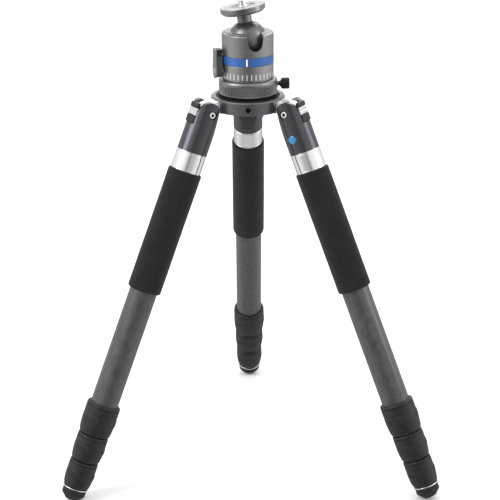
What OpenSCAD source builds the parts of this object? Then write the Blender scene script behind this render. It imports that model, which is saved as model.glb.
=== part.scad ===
// Tabletop-to-full-height camera tripod: three four-section carbon legs on a machined
// spider, with a drop-notch ball head. Millimetres, +Z up. The origin is the point on
// the floor under the head's pan axis. One leg points along +Y, two point to the front.

/* [Stance] */
// Angle of each leg from the vertical when it rests on its first angle stop
leg_spread = 23; // [18:0.5:26]
// Distance of each leg's hinge axis from the pan axis
hinge_radius = 62; // [61:0.5:66]

/* [Leg] */
// Outer diameter of the top carbon tube
tube_d = 36; // [36:0.5:37]
// Distance from the hinge axis to the foot's end, legs closed
leg_length = 532; // [525:1:545]
// Distance from the hinge axis to the top of the first twist lock
first_lock_s = 398; // [392:1:398]
// Length of the foam grip
foam_length = 162; // [100:1:165]
// Outer diameter of the foam grip
foam_d = 43.7; // [42:0.1:46]

/* [Head] */
// Diameter of the ball
ball_d = 48.8; // [48:0.1:49]
// Diameter of the ball's neck
neck_d = 18; // [14:0.5:18]
// Outer diameter of the ball housing
housing_d = 65.6; // [65:0.1:66]
// Outer diameter of the knurled pan base
base_d = 74.6; // [73:0.1:74.8]
// Diameter of the camera platform
platform_d = 56.8; // [50:0.1:58]
// Direction of the drop notch, seen from above, from +X
notch_az = -72; // [-80:1:-60]
// Direction of the ball lock lever
lever_az = 195; // [185:1:200]

/* [Hidden] */
$fn = 96;
// running clearance of a turning or sliding fit
fit = 0.05;
// open gap between pieces that only pass each other
gap = 0.3;

// the three legs: name and direction
LEGS = [["left", 210], ["right", 330], ["rear", 90]];
LEG_PARTS = ["fork", "sleeve", "foam_grip", "tube1", "angle_stop", "release_button",
             "lock1", "tube2", "lock2", "tube3", "lock3", "tube4", "foot_ring", "foot"];
HEAD_PARTS = ["spider", "hub", "hinge_bolts", "head_stud", "base_gasket", "pan_base",
              "pan_knob", "drum", "drag_ring", "lock_spindle", "lock_lever", "housing",
              "ball_seat", "ball", "platform", "camera_screw"];

// ---- leg sizes: s is the distance from the hinge axis down the leg ----
lug_w = 18;
slot_w = 18.6;
slot_bottom_s = 17.5;
lug_r = 13.6;
// centre and radius of the fork's round ears
ear_x = 3;
ear_z = 1.5;
ear_r = 13;
fork_r = 19.4;
fork_end_s = 52.5;
// the fork's tapered sides: inner and outer
fork_in_s = 44;
fork_out_s = 14;
bolt_r = 4;
bolt_head_r = 4.3;
bolt_head_h = 3.7;
bolt_seat_y = 15;
// wide round recess round each bolt head
recess_r = 5.7;
recess_y = 16.6;
// the angle stop's block in the slot
stop_in = 15.4;
stop_out = 19.6;
stop_low = -17.2;
stop_top = 9;
// grooves that part the stop's pull tab from its black ends
tab_edges = [-7.4, 2];
stop_groove = 0.6;
// the round push button on the fork's side and its room
button_s = 33;
button_r = 5.35;
button_in = 11;
button_travel = 2.2;
tube_wall = 1.8;
// outer radius of tube n, from 1
function tube_r(n) = n == 1 ? tube_d / 2 : tube_r(n - 1) - (n == 4 ? 1.5 : 1.6) - gap;
// inner radius of tube n
function tube_in(n) = tube_r(n) - (n == 1 ? tube_wall : 1.5);
sleeve_end_s = 78;
lock_l = [42.4, 36.4, 36.2];
lock_gap = 0.7;
lock_r = [22.6, 20.7, 19.2];
// top of lock n
function lock_s(n) = n == 1 ? first_lock_s : lock_s(n - 1) + lock_l[n - 2] + lock_gap;
// depth of a tube's end inside its lock
lock_seat = 17.5;
plug_end_s = 90;
tube_top_step = 5;
ring_s = lock_s(3) + lock_l[2] + 0.5;
ring_l = 1.7;
ring_r = 16.6;
foot_s = ring_s + ring_l;
foot_r = 15.4;
foot_tip_r = 9;
foot_chamfer = 7;
foot_socket = 8;
// height of the hinge axis above the floor: the foot stands on its inner lower edge
hinge_z = leg_length * cos(leg_spread) + foot_tip_r * sin(leg_spread);

// ---- hub and spider, heights from the hinge axis ----
hub_r = 47;
hub_low = -1.5;
hub_top = 15.1;
hub_edge = 1.2;
arm_w = 26.6;
arm_top = 13.6;
arm_play = 0.1;
lug_in = 40;
// accessory socket in the hub's front
socket_r = 3.97;
socket_l = 12;
socket_z = 5.8;
stud_r = 4.75;
stud_head_r = 8.5;
stud_head_h = 6;
stud_seat_z = 5.5;
stud_top = 29;
stud_key_r = 4;
stud_key_l = 3.5;

// ---- head, heights above the floor ----
gasket_z = hinge_z + hub_top;
gasket_h = 3;
base_z = gasket_z + gasket_h;
base_h = 19.5;
base_floor = 4.5;
base_wall_r = 29.6;
post_r = 12;
post_top = base_z + 22.4;
knurls = 90;
knurl_depth = 0.7;
knurl_h = 14;
drum_z = base_z + base_h + 0.3;
drum_h = 19.9;
drum_r = housing_d / 2;
skirt_r = base_wall_r - fit;
cam_room_r = 20;
spigot_r = 29;
spigot_z = drum_z + drum_h + 0.1;
ring_h = 10.6;
ring_r_out = drum_r + 0.2;
housing_z = spigot_z + ring_h + 0.4;
ball_r = ball_d / 2;
cavity_r = ball_r + 0.1;
ball_z = hinge_z + 86.5;
rim_z = ball_z + 11.1;
seat_r = 27.4;
pocket_ball_r = seat_r + 0.2;
seat_low = -22.2;
seat_top = -13.7;
neck_r = neck_d / 2;
notch_r = neck_r + 0.4;
notch_flare = 0.13;
flare_s = 33;
flare_out = 1;
plate_s = 34;
plate_h = 9.2;
neck_pin_r = 5;
neck_pin_l = 5;
screw_r = 4.76;
screw_l = 8;
screw_foot_l = 1.6;
dish_r = 16;
dish_h = 0.8;
// direction of the ball's neck at rest: turned about the notch's line, then leaned from it
neck_roll = 7.6;
neck_lean = -4.4;

// ---- knobs ----
knob_z = base_z + 11.4;
knob_r = 7.2;
stem_r = 3;
boss_r = 5;
spindle_z = drum_z + 10.7;
spindle_r = 3.5;
lever_hub_r = 9.2;
lever_top = 28.5;
lever_w = 14;
lever_in = 34.2;
lever_t = 9.8;

// ---- helpers ----
// places a part drawn on one leg's own axes: hinge at the origin, leg down -Z
module on_leg(az)
  rotate([0, 0, az]) translate([hinge_radius, 0, hinge_z]) rotate([0, -leg_spread, 0])
    children();

// a plain tube from s0 to s1 down the leg
module leg_ring(s0, s1, r_out, r_in)
  translate([0, 0, -s1]) difference() {
    cylinder(r = r_out, h = s1 - s0);
    translate([0, 0, -1]) cylinder(r = r_in, h = s1 - s0 + 2);
  }

// a disc with a chamfer of c at both ends
module chamfered(r, h, c)
  rotate_extrude() polygon([[0, 0], [r - c, 0], [r, c], [r, h - c], [r - c, h], [0, h]]);

// places a part drawn along the ball's neck: ball centre at the origin, neck up +Z
module on_neck()
  translate([0, 0, ball_z]) rotate([0, 0, notch_az]) rotate([neck_roll, 0, 0])
    rotate([0, neck_lean, 0]) children();

// places a part drawn along a spindle that leaves the pan axis level, outward +X
module outward(az, z)
  translate([0, 0, z]) rotate([0, 0, az]) children();

// ---- spider and hub ----
// the lug's outline in the plane of its leg, hinge at the origin
module lug_outline() {
  circle(r = lug_r);
  polygon([[lug_in - hinge_radius, 0], [lug_in - hinge_radius, arm_top], [0, arm_top],
           [0, 0], [-8, -10.5], [-18, 2]]);
}

// a three-armed star round the pan axis, its arms w wide
module star(w, z0, z1) translate([0, 0, z0]) linear_extrude(z1 - z0)
  polygon([for (l = [LEGS[2], LEGS[0], LEGS[1]], i = [0 : 2])
    let (a = l[1], x = i < 2 ? hub_r + 5 : 0, y = i == 0 ? -w / 2 : w / 2,
         inner = w / 2 / sin(60))
    i == 2 ? [inner * cos(a + 60), inner * sin(a + 60)]
           : [x * cos(a) - y * sin(a), x * sin(a) + y * cos(a)]]);

// the clearance bore of the head's stud
module stud_bore() translate([0, 0, -50]) cylinder(r = stud_r + fit, h = 100);

module spider() color("gainsboro") translate([0, 0, hinge_z]) difference() {
  union() {
    intersection() {
      translate([0, 0, hub_low]) cylinder(r = hub_r, h = arm_top - hub_low);
      star(arm_w, hub_low - 1, arm_top + 1);
    }
    for (l = LEGS) rotate([0, 0, l[1]]) translate([hinge_radius, lug_w / 2, 0])
      rotate([90, 0, 0]) linear_extrude(lug_w) lug_outline();
  }
  stud_bore();
  translate([0, 0, hub_low - 1]) cylinder(r = stud_head_r + 0.5, h = stud_seat_z - hub_low + 1);
  for (l = LEGS) rotate([0, 0, l[1]]) translate([hinge_radius, 50, 0])
    rotate([90, 0, 0]) cylinder(r = bolt_r + fit, h = 100);
}

module hub() color("dimgray") translate([0, 0, hinge_z]) difference() {
  translate([0, 0, hub_low]) chamfered(hub_r, hub_top - hub_low, hub_edge);
  star(arm_w + arm_play, hub_low - 1, arm_top + arm_play);
  stud_bore();
  translate([0, -hub_r + socket_l, socket_z]) rotate([90, 0, 0])
    cylinder(r = socket_r, h = 2 * socket_l);
}

// a shoulder bolt with its cap nut at each leg, three separate bolts
module hinge_bolts() color("silver") for (l = LEGS) rotate([0, 0, l[1]])
  translate([hinge_radius, 0, hinge_z]) rotate([90, 0, 0]) {
    difference() {
      union() {
        cylinder(r = bolt_r, h = 2 * bolt_seat_y + 0.2, center = true);
        translate([0, 0, bolt_seat_y + 0.1]) chamfered(bolt_head_r, bolt_head_h, 0.5);
      }
      translate([0, 0, bolt_seat_y + 1.8]) cylinder(r = 2.3, h = 5, $fn = 6);
    }
    mirror([0, 0, 1]) translate([0, 0, bolt_seat_y + 0.1]) difference() {
      chamfered(bolt_head_r, bolt_head_h, 0.5);
      translate([0, 0, 2.6]) cylinder(r = 2, h = 5);
    }
  }

// the screw that holds the head on the hub
module head_stud() color("silver") translate([0, 0, hinge_z]) difference() {
  union() {
    translate([0, 0, stud_seat_z - stud_head_h]) chamfered(stud_head_r, stud_head_h, 0.6);
    translate([0, 0, stud_seat_z - 1]) cylinder(r = stud_r, h = stud_top - stud_seat_z + 1);
  }
  translate([0, 0, stud_seat_z - stud_head_h - 1])
    cylinder(r = stud_key_r, h = stud_key_l + 1, $fn = 6);
}

module base_gasket() color("#202022") translate([0, 0, gasket_z]) difference() {
  chamfered(base_d / 2 - 0.5, gasket_h, 0.8);
  translate([0, 0, -1]) cylinder(r = stud_r + fit, h = gasket_h + 2);
}

// ---- pan base and its knob ----
// a round outline with shallow grooves all round
module knurled_outline(r, count, depth)
  polygon([for (i = [0 : count * 2 - 1])
    let (a = 180 * i / count, q = r - (i % 2 == 0 ? 0 : depth)) [q * cos(a), q * sin(a)]]);

module pan_base() color("#7a7a7c") translate([0, 0, base_z]) difference() {
  union() {
    difference() {
      union() {
        linear_extrude(knurl_h + 1) knurled_outline(base_d / 2 - 0.2, knurls, knurl_depth);
        rotate_extrude() polygon([[0, knurl_h], [base_d / 2, knurl_h],
          [base_d / 2, base_h - 2.5], [base_d / 2 - 1.8, base_h], [0, base_h]]);
      }
      translate([0, 0, base_floor]) cylinder(r = base_wall_r, h = base_h);
    }
    cylinder(r = post_r, h = post_top - base_z);
    translate([0, 0, knob_z - base_z]) rotate([0, 90, 0])
      translate([0, 0, base_wall_r + 2]) cylinder(r = boss_r, h = base_d / 2 - base_wall_r - 1.4);
  }
  translate([0, 0, -1]) cylinder(r = stud_r + fit, h = 21);
  translate([0, 0, knob_z - base_z]) rotate([0, 90, 0]) translate([0, 0, base_wall_r - 1])
    cylinder(r = stem_r + fit, h = 20);
}

// the pan lock screw with its knob
module pan_knob() color("#2a2a2c") outward(0, knob_z) rotate([0, 90, 0]) {
  translate([0, 0, skirt_r + 0.4]) cylinder(r = stem_r, h = 14);
  translate([0, 0, 42]) difference() {
    chamfered(knob_r, 11, 1);
    for (i = [0 : 11]) rotate([0, 0, 30 * i]) translate([knob_r + 0.7, 0, 2])
      cylinder(r = 1.4, h = 7, $fn = 24);
  }
}

// ---- rotating head ----
module drum() color("#8c8c8e") difference() {
  union() {
    translate([0, 0, drum_z]) cylinder(r = drum_r, h = drum_h);
    translate([0, 0, base_z + base_floor + 0.4])
      cylinder(r = skirt_r, h = drum_z - base_z - base_floor);
  }
  translate([0, 0, base_z]) cylinder(r = post_r + fit, h = 40);
  translate([0, 0, post_top + 1]) cylinder(r = cam_room_r, h = 40);
  outward(lever_az, spindle_z) rotate([0, 90, 0]) translate([0, 0, cam_room_r - 3])
    cylinder(r = spindle_r + fit, h = 30);
}

module drag_ring() color("#3f6fc4") translate([0, 0, spigot_z + 0.1]) difference() {
  chamfered(ring_r_out, ring_h, 0.6);
  translate([0, 0, -1]) cylinder(r = spigot_r + fit, h = ring_h + 2);
}

// the lever's shaft, with the eccentric end that lifts the ball seat
module lock_spindle() color("silver") outward(lever_az, spindle_z) rotate([0, 90, 0]) {
  translate([0, 0, 6]) cylinder(r = spindle_r, h = lever_in - 6);
  translate([1, 0, -6]) cylinder(r = spindle_r - 1, h = 12);
}

module lock_lever() color("#5c5d61") outward(lever_az, spindle_z)
  translate([lever_in, 0, 0]) rotate([90, 0, 90]) difference() {
    union() {
      translate([0, 0, lever_t - 3]) linear_extrude(3) lever_outline(0);
      linear_extrude(lever_t - 2.9) lever_outline(1.2);
    }
    translate([0, 0, -1]) cylinder(r = 2.5, h = 4, $fn = 6);
  }

// the lever's outline, a round hub and a straight paddle, smaller by m all round
module lever_outline(m) {
  circle(r = lever_hub_r - m);
  polygon([[-lever_hub_r + m, 0], [lever_hub_r - m, 0], [lever_w / 2 - m, lever_top - 3],
           [lever_w / 2 - 2 - m, lever_top - m], [-lever_w / 2 + 2 + m, lever_top - m],
           [-lever_w / 2 + m, lever_top - 3]]);
}

// the notch's outline across its line: round bottom, walls that flare a little upward
module notch_outline() {
  h = rim_z - ball_z + 10;
  circle(r = notch_r);
  polygon([[-notch_r, 0], [notch_r, 0], [notch_r + notch_flare * h, h],
           [-notch_r - notch_flare * h, h]]);
}

module housing() color("#858587") difference() {
  union() {
    translate([0, 0, spigot_z]) cylinder(r = spigot_r, h = rim_z - spigot_z);
    translate([0, 0, housing_z]) rotate_extrude()
      polygon([[0, 0], [drum_r, 0], [drum_r, rim_z - housing_z - 2.6],
               [drum_r - 1, rim_z - housing_z - 1.4], [drum_r - 7, rim_z - housing_z],
               [0, rim_z - housing_z]]);
  }
  translate([0, 0, ball_z]) sphere(r = cavity_r);
  intersection() {
    translate([0, 0, ball_z]) sphere(r = pocket_ball_r);
    translate([0, 0, ball_z - 39.5]) cylinder(r = 40, h = 40);
  }
  translate([0, 0, spigot_z - 1]) cylinder(r = 10, h = 20);
  translate([0, 0, ball_z]) rotate([0, 0, notch_az]) rotate([90, 0, 90])
    linear_extrude(60) notch_outline();
}

// the ring under the ball that the lock presses up
module ball_seat() color("#e8e4d8") translate([0, 0, ball_z]) difference() {
  intersection() {
    sphere(r = seat_r);
    translate([0, 0, seat_low]) cylinder(r = 30, h = seat_top - seat_low);
  }
  sphere(r = cavity_r);
}

module ball() color("#909094") on_neck() {
  sphere(r = ball_r);
  cylinder(r = neck_r, h = plate_s - 0.1);
  translate([0, 0, flare_s]) rotate_extrude()
    polygon([[0, 0], [neck_r, 0], [neck_r + flare_out, plate_s - flare_s - 0.1],
             [0, plate_s - flare_s - 0.1]]);
  cylinder(r = neck_pin_r, h = plate_s + neck_pin_l - 0.3);
}

module platform() color("#8a8a8e") on_neck() translate([0, 0, plate_s]) difference() {
  rotate_extrude() polygon([[0, 0], [platform_d / 2 - 4, 0], [platform_d / 2 - 0.6, 2.6],
    [platform_d / 2 - 0.6, 3.4], [platform_d / 2, 3.7], [platform_d / 2, plate_h - 0.6],
    [platform_d / 2 - 0.6, plate_h], [dish_r, plate_h], [dish_r, plate_h - dish_h],
    [0, plate_h - dish_h]]);
  translate([0, 0, -1]) cylinder(r = neck_pin_r + fit, h = neck_pin_l + 1);
  translate([0, 0, plate_h - dish_h - screw_foot_l + 0.4]) cylinder(r = 7, h = 5);
}

// the camera screw on its flat round foot
module camera_screw() color("silver") on_neck()
  translate([0, 0, plate_s + plate_h - dish_h - screw_foot_l + 0.4]) {
    cylinder(r = 6.9, h = screw_foot_l);
    translate([0, 0, screw_foot_l]) rotate_extrude()
      polygon([[0, -0.5], [screw_r, -0.5], [screw_r, screw_l - 0.8],
               [screw_r - 0.8, screw_l], [0, screw_l]]);
  }

// ---- one leg, drawn with its hinge at the origin and the leg down -Z ----
module fork() color("#4a4b50") difference() {
  intersection() {
    translate([0, 0, -fork_end_s]) cylinder(r = fork_r, h = fork_end_s + 20);
    translate([0, fork_r + 1, 0]) rotate([90, 0, 0]) linear_extrude(2 * fork_r + 2) {
      translate([ear_x, ear_z]) circle(r = ear_r);
      polygon([[ear_x - ear_r, ear_z], [-fork_r, -fork_in_s], [-fork_r, -fork_end_s],
               [fork_r, -fork_end_s], [fork_r, -fork_out_s], [ear_x + ear_r, ear_z]]);
    }
  }
  translate([-30, -slot_w / 2, -slot_bottom_s]) cube([60, slot_w, 60]);
  rotate([90, 0, 0]) cylinder(r = bolt_r + fit, h = 60, center = true);
  for (side = [0, 1]) mirror([0, side, 0]) rotate([90, 0, 0]) {
    translate([0, 0, bolt_seat_y]) cylinder(r = bolt_head_r + fit, h = 20);
    translate([0, 0, recess_y]) cylinder(r = recess_r, h = 20);
  }
  translate([0, -button_in, -button_s]) rotate([90, 0, 0])
    cylinder(r = button_r + fit, h = 20);
}

module fork_with_plug() {
  fork();
  color("#4a4b50") leg_ring(fork_end_s - 1, plug_end_s, tube_in(1) - fit, 11);
}

module sleeve() color("silver") difference() {
  leg_ring(fork_end_s, sleeve_end_s, fork_r, tube_r(1) + fit);
  for (s = [fork_end_s + 1.6, sleeve_end_s - 2.4]) translate([0, 0, -s])
    rotate_extrude() polygon([[fork_r - 0.5, 0], [fork_r + 1, 0], [fork_r + 1, 0.8],
                              [fork_r - 0.5, 0.8]]);
}

module foam_grip() color("#242426") translate([0, 0, -sleeve_end_s - 0.2 - foam_length])
  rotate_extrude() polygon([[tube_r(1) + fit, 0], [foam_d / 2 - 2, 0], [foam_d / 2, 2],
    [foam_d / 2, foam_length - 1], [foam_d / 2 - 1, foam_length],
    [tube_r(1) + fit, foam_length]]);

// carbon tube n: its top lies below the plug, its end is in lock n or in the foot
function tube_top(n) = n == 1 ? fork_end_s : plug_end_s + tube_top_step * (n - 1);
function tube_end(n) = n < 4 ? lock_s(n) + lock_seat : foot_s + foot_socket - 0.5;
module carbon_tube(n) color("#3c3c3f") leg_ring(tube_top(n), tube_end(n), tube_r(n), tube_in(n));

// the block in the fork's slot that is pulled outward to free the leg
module angle_stop() color("#1f1f21") difference() {
  translate([stop_in, gap - slot_w / 2, stop_low])
    cube([stop_out - stop_in, slot_w - 2 * gap, stop_top - stop_low]);
  for (z = tab_edges) translate([stop_out - 1, -slot_w, z])
    cube([5, 2 * slot_w, stop_groove]);
}

module release_button() color("#2f8fc0") translate([0, 0, -button_s]) rotate([90, 0, 0])
  rotate_extrude() polygon([[0, button_in + button_travel + 0.4],
    [button_r, button_in + button_travel + 0.4], [button_r, fork_r + 0.4],
    [button_r - 1, fork_r + 1.3], [0, fork_r + 1.7]]);

// twist lock n: a barrel that grips the next tube, with the seat for its own tube's end
module twist_lock(n) {
  l = lock_l[n - 1];
  r = lock_r[n - 1];
  color("#1c1c1e") translate([0, 0, -lock_s(n) - l]) difference() {
    rotate_extrude() polygon([[0, 0], [r - 3.6, 0], [r - 1.8, 2.2], [r - 0.5, l * 0.3],
      [r, l * 0.55], [r - 0.3, l - 4], [r - 1.6, l], [0, l]]);
    translate([0, 0, -1]) cylinder(r = tube_r(n + 1) + gap, h = l + 2);
    translate([0, 0, l - lock_seat - 0.6]) cylinder(r = tube_r(n) + 0.1, h = l);
  }
}

module foot_ring() color("white") leg_ring(ring_s, foot_s - 0.1, ring_r, tube_r(4) + fit);

module foot() color("#19191b") translate([0, 0, -leg_length]) difference() {
  h = leg_length - foot_s;
  rotate_extrude() polygon([[0, 0], [foot_tip_r, 0], [foot_r, foot_chamfer],
                            [foot_r, h - 0.8], [foot_r - 0.8, h], [0, h]]);
  translate([0, 0, h - foot_socket]) cylinder(r = tube_r(4) + fit, h = 30);
}

// ---- parts drawn by name ----
spider();
hub();
hinge_bolts();
head_stud();
base_gasket();
pan_base();
pan_knob();
drum();
drag_ring();
lock_spindle();
lock_lever();
housing();
ball_seat();
ball();
platform();
camera_screw();
for (l = LEGS) {
  on_leg(l[1]) fork_with_plug();
  on_leg(l[1]) sleeve();
  on_leg(l[1]) foam_grip();
  on_leg(l[1]) angle_stop();
  on_leg(l[1]) release_button();
  on_leg(l[1]) foot_ring();
  on_leg(l[1]) foot();
  for (n = [1 : 4]) on_leg(l[1]) carbon_tube(n);
  for (n = [1 : 3]) on_leg(l[1]) twist_lock(n);
}
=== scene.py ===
"""A four-section carbon tripod with a drop-notch ball head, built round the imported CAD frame.

Sizes in this script are millimetres; the helpers turn them into Blender's metres.
+Z is up and the origin is on the floor under the head's pan axis.
"""

from math import acos, cos, degrees, pi, radians, sin, sqrt

import bmesh
import bpy
from mathutils import Matrix, Vector


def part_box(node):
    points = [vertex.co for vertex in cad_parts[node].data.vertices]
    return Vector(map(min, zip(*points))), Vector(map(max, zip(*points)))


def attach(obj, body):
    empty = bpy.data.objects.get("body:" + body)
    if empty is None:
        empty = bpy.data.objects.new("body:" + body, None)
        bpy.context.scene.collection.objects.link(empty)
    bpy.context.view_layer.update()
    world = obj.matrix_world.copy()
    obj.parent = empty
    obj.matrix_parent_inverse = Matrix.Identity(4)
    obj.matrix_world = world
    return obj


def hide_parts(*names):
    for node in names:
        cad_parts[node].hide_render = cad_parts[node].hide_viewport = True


MM = 0.001
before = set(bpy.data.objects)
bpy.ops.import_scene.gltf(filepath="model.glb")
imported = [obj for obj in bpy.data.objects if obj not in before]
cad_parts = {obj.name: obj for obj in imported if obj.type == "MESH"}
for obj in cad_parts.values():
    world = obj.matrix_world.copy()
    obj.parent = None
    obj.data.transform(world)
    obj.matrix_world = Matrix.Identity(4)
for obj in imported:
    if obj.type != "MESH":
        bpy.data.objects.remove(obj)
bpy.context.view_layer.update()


# ---------------------------------------------------------------- places

def low(node):
    """A CAD node's lowest corner, in millimetres."""
    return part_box(node)[0] / MM


def high(node):
    """A CAD node's highest corner, in millimetres."""
    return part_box(node)[1] / MM


def shift(x=0.0, y=0.0, z=0.0):
    return Matrix.Translation(Vector((x, y, z)) * MM)


def turn(angle, axis):
    """A turn about one axis, by an angle in degrees."""
    return Matrix.Rotation(radians(angle), 4, axis)


LEGS = {"left": 210, "right": 330, "rear": 90}
SPREAD = 23
HINGE_R = 62
HINGE_Z = (low("hinge_bolts").z + high("hinge_bolts").z) / 2
# the legs' and the neck's own axes: a leg runs down its -Z, the neck up its +Z
LEG_PLACE = {
    side: turn(az, "Z") @ shift(HINGE_R, 0, HINGE_Z) @ turn(-SPREAD, "Y")
    for side, az in LEGS.items()
}
BALL_R = 24.4
NECK_R = 9
NOTCH_R = 9.4
BALL_Z = low("ball").z + BALL_R
NOTCH_AZ = -72
NOTCH_FLARE = 0.13
# the neck at rest: turned about the notch's line, then leaned away from the notch
NECK_ROLL = 7.6
NECK_LEAN = -4.4
NECK = (shift(z=BALL_Z) @ turn(NOTCH_AZ, "Z") @ turn(NECK_ROLL, "X")
        @ turn(NECK_LEAN, "Y"))
WORLD = Matrix.Identity(4)
# turns a part's own Z to lie along +X, or along -Y
TO_X = turn(90, "Y")
TO_FRONT = turn(90, "X")


# ---------------------------------------------------------------- the camera

CAM_LENS = 114.66
CAM_AIM = Vector((1.376, 0, 296.893)) * MM
CAM_DISTANCE = 2.1047
CAM_ELEVATION = radians(19.994)
CAM_ROLL = radians(-0.346)
CAM_SWING = -0.186


def make_camera():
    """A long lens, looking a little down on the tripod from the front."""
    ahead = Vector((0, cos(CAM_ELEVATION), -sin(CAM_ELEVATION)))
    right = Vector((1, 0, 0))
    up = right.cross(ahead)
    rolled_right = right * cos(CAM_ROLL) + up * sin(CAM_ROLL)
    rolled_up = up * cos(CAM_ROLL) - right * sin(CAM_ROLL)
    axes = Matrix((rolled_right, rolled_up, -ahead)).transposed().to_4x4()
    data = bpy.data.cameras.new("camera")
    data.lens = CAM_LENS
    data.sensor_width = 36
    data.clip_start, data.clip_end = 0.05, 50
    cam = bpy.data.objects.new("camera", data)
    bpy.context.scene.collection.objects.link(cam)
    place = Matrix.Translation(CAM_AIM - ahead * CAM_DISTANCE) @ axes
    cam.matrix_world = turn(CAM_SWING, "Z") @ place
    bpy.context.scene.camera = cam


# ---------------------------------------------------------------- mesh helpers

def add_object(name, mesh, place):
    obj = bpy.data.objects.new(name, mesh)
    bpy.context.scene.collection.objects.link(obj)
    obj.matrix_world = place
    return obj


def smooth(obj, sharp_angle=40):
    """Smooth shading that keeps flat faces flat beside their rounded edges."""
    for p in obj.data.polygons:
        p.use_smooth = True
    obj.data.set_sharp_from_angle(angle=radians(sharp_angle))
    weighted = obj.modifiers.new("weighted", "WEIGHTED_NORMAL")
    weighted.keep_sharp = True
    return obj


def piece(name, verts, faces, place, bevel=0):
    """A mesh object from points in millimetres, with its edges rounded by bevel."""
    bm = bmesh.new()
    made = [bm.verts.new(Vector(v) * MM) for v in verts]
    for f in faces:
        bm.faces.new([made[i] for i in f])
    bmesh.ops.recalc_face_normals(bm, faces=bm.faces)
    mesh = bpy.data.meshes.new(name)
    bm.to_mesh(mesh)
    bm.free()
    obj = add_object(name, mesh, place)
    if bevel:
        round_edges(obj, bevel)
    return smooth(obj)


def round_edges(obj, width, segments=3, angle=28):
    b = obj.modifiers.new("bevel", "BEVEL")
    b.width = width * MM
    b.segments = segments
    b.limit_method = "ANGLE"
    b.angle_limit = radians(angle)


def rounded(points, loop=False, steps=4):
    """A profile with its corners rounded. A point is (r, z) or (r, z, radius)."""
    out = []
    n = len(points)
    for i, p in enumerate(points):
        if len(p) < 3 or (not loop and i in (0, n - 1)):
            out.append(tuple(p[:2]))
            continue
        corner = Vector(p[:2])
        back = Vector(points[i - 1][:2]) - corner
        ahead = Vector(points[(i + 1) % n][:2]) - corner
        reach = min(p[2], 0.48 * back.length, 0.48 * ahead.length)
        start = corner + back.normalized() * reach
        end = corner + ahead.normalized() * reach
        for k in range(steps + 1):
            t = k / steps
            out.append(tuple(start * (1 - t) ** 2 + corner * (2 * t * (1 - t)) + end * t * t))
    return out


def lathe(name, profile, place=WORLD, segments=96, shape=None, loop=False):
    """Turns a profile of (r, z) round Z. It runs from axis to axis, or is a closed loop.

    shape(angle, r, z) gives the radius at that angle where the piece isn't round.
    """
    verts, rows, faces = [], [], []
    for r, z in profile:
        if r < 1e-6:
            verts.append((0, 0, z))
            rows.append([len(verts) - 1] * segments)
            continue
        rows.append(range(len(verts), len(verts) + segments))
        for k in range(segments):
            a = 2 * pi * k / segments
            q = shape(a, r, z) if shape else r
            verts.append((q * cos(a), q * sin(a), z))
    for below, above in zip(rows, rows[1:] + (rows[:1] if loop else [])):
        for k in range(segments):
            j = (k + 1) % segments
            corners = list(dict.fromkeys((below[k], below[j], above[j], above[k])))
            if len(corners) > 2:
                faces.append(corners)
    return piece(name, verts, faces, place)


def slab(name, outline, z0, z1, place, bevel):
    """An outline in the XY plane, raised from z0 to z1, with rounded edges."""
    n = len(outline)
    verts = [(x, y, z) for z in (z0, z1) for x, y in outline]
    faces = [list(range(n)), list(range(n, 2 * n))]
    faces += [[i, (i + 1) % n, n + (i + 1) % n, n + i] for i in range(n)]
    return piece(name, verts, faces, place, bevel)


def arc(cx, cy, r, a0, a1, count):
    """Points round a circle from a0 to a1 degrees."""
    return [
        (cx + r * cos(radians(a)), cy + r * sin(radians(a)))
        for a in (a0 + (a1 - a0) * k / count for k in range(count + 1))
    ]


def refined(name, node, place, bevel, segments=3):
    """A copy of a CAD node on its own axes: flat faces joined, edges rounded."""
    bm = bmesh.new()
    bm.from_mesh(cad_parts[node].data)
    bmesh.ops.remove_doubles(bm, verts=bm.verts, dist=0.003 * MM)
    bmesh.ops.dissolve_limit(bm, angle_limit=radians(1), verts=bm.verts, edges=bm.edges)
    bm.transform(place.inverted())
    mesh = bpy.data.meshes.new(name)
    bm.to_mesh(mesh)
    bm.free()
    obj = add_object(name, mesh, place)
    round_edges(obj, bevel, segments)
    return smooth(obj)


def dress(obj, material, body, slot, *nodes):
    """Gives a piece its material, the body it rides on and the CAD nodes it stands for."""
    obj.data.materials.clear()
    obj.data.materials.append(material)
    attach(obj, body)
    if nodes:
        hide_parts(*nodes)
    return obj


def window(z, z0, z1, ramp):
    """1 between z0 and z1, falling smoothly to 0 over ramp inside each end."""
    t = max(0.0, min(1.0, (z - z0) / ramp, (z1 - z) / ramp))
    return t * t * (3 - 2 * t)


def spread_rows(z0, z1, count):
    return [z0 + (z1 - z0) * k / count for k in range(count + 1)]


# ---------------------------------------------------------------- materials

def add_node(tree, kind, inputs=None, **props):
    """A shader node. An input is a number, a colour or another node's output."""
    n = tree.nodes.new(kind)
    for key, value in props.items():
        setattr(n, key, value)
    for key, value in (inputs or {}).items():
        if isinstance(value, bpy.types.NodeSocket):
            tree.links.new(value, n.inputs[key])
        else:
            n.inputs[key].default_value = value
    return n


def rgb(*c):
    return (*c, 1.0)


def start_material(name):
    mat = bpy.data.materials.new(name)
    mat.use_nodes = True
    return mat, mat.node_tree, mat.node_tree.nodes["Principled BSDF"]


def noise(tree, vector, scale, detail=3.0, rough=0.55):
    n = add_node(
        tree, "ShaderNodeTexNoise",
        {"Vector": vector, "Scale": scale, "Detail": detail, "Roughness": rough},
    )
    return n.outputs["Fac"]


def ranged(tree, value, low_out, high_out, low_in=0.3, high_in=0.7):
    n = add_node(
        tree, "ShaderNodeMapRange",
        {"Value": value, "From Min": low_in, "From Max": high_in,
         "To Min": low_out, "To Max": high_out},
    )
    return n.outputs["Result"]


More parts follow.
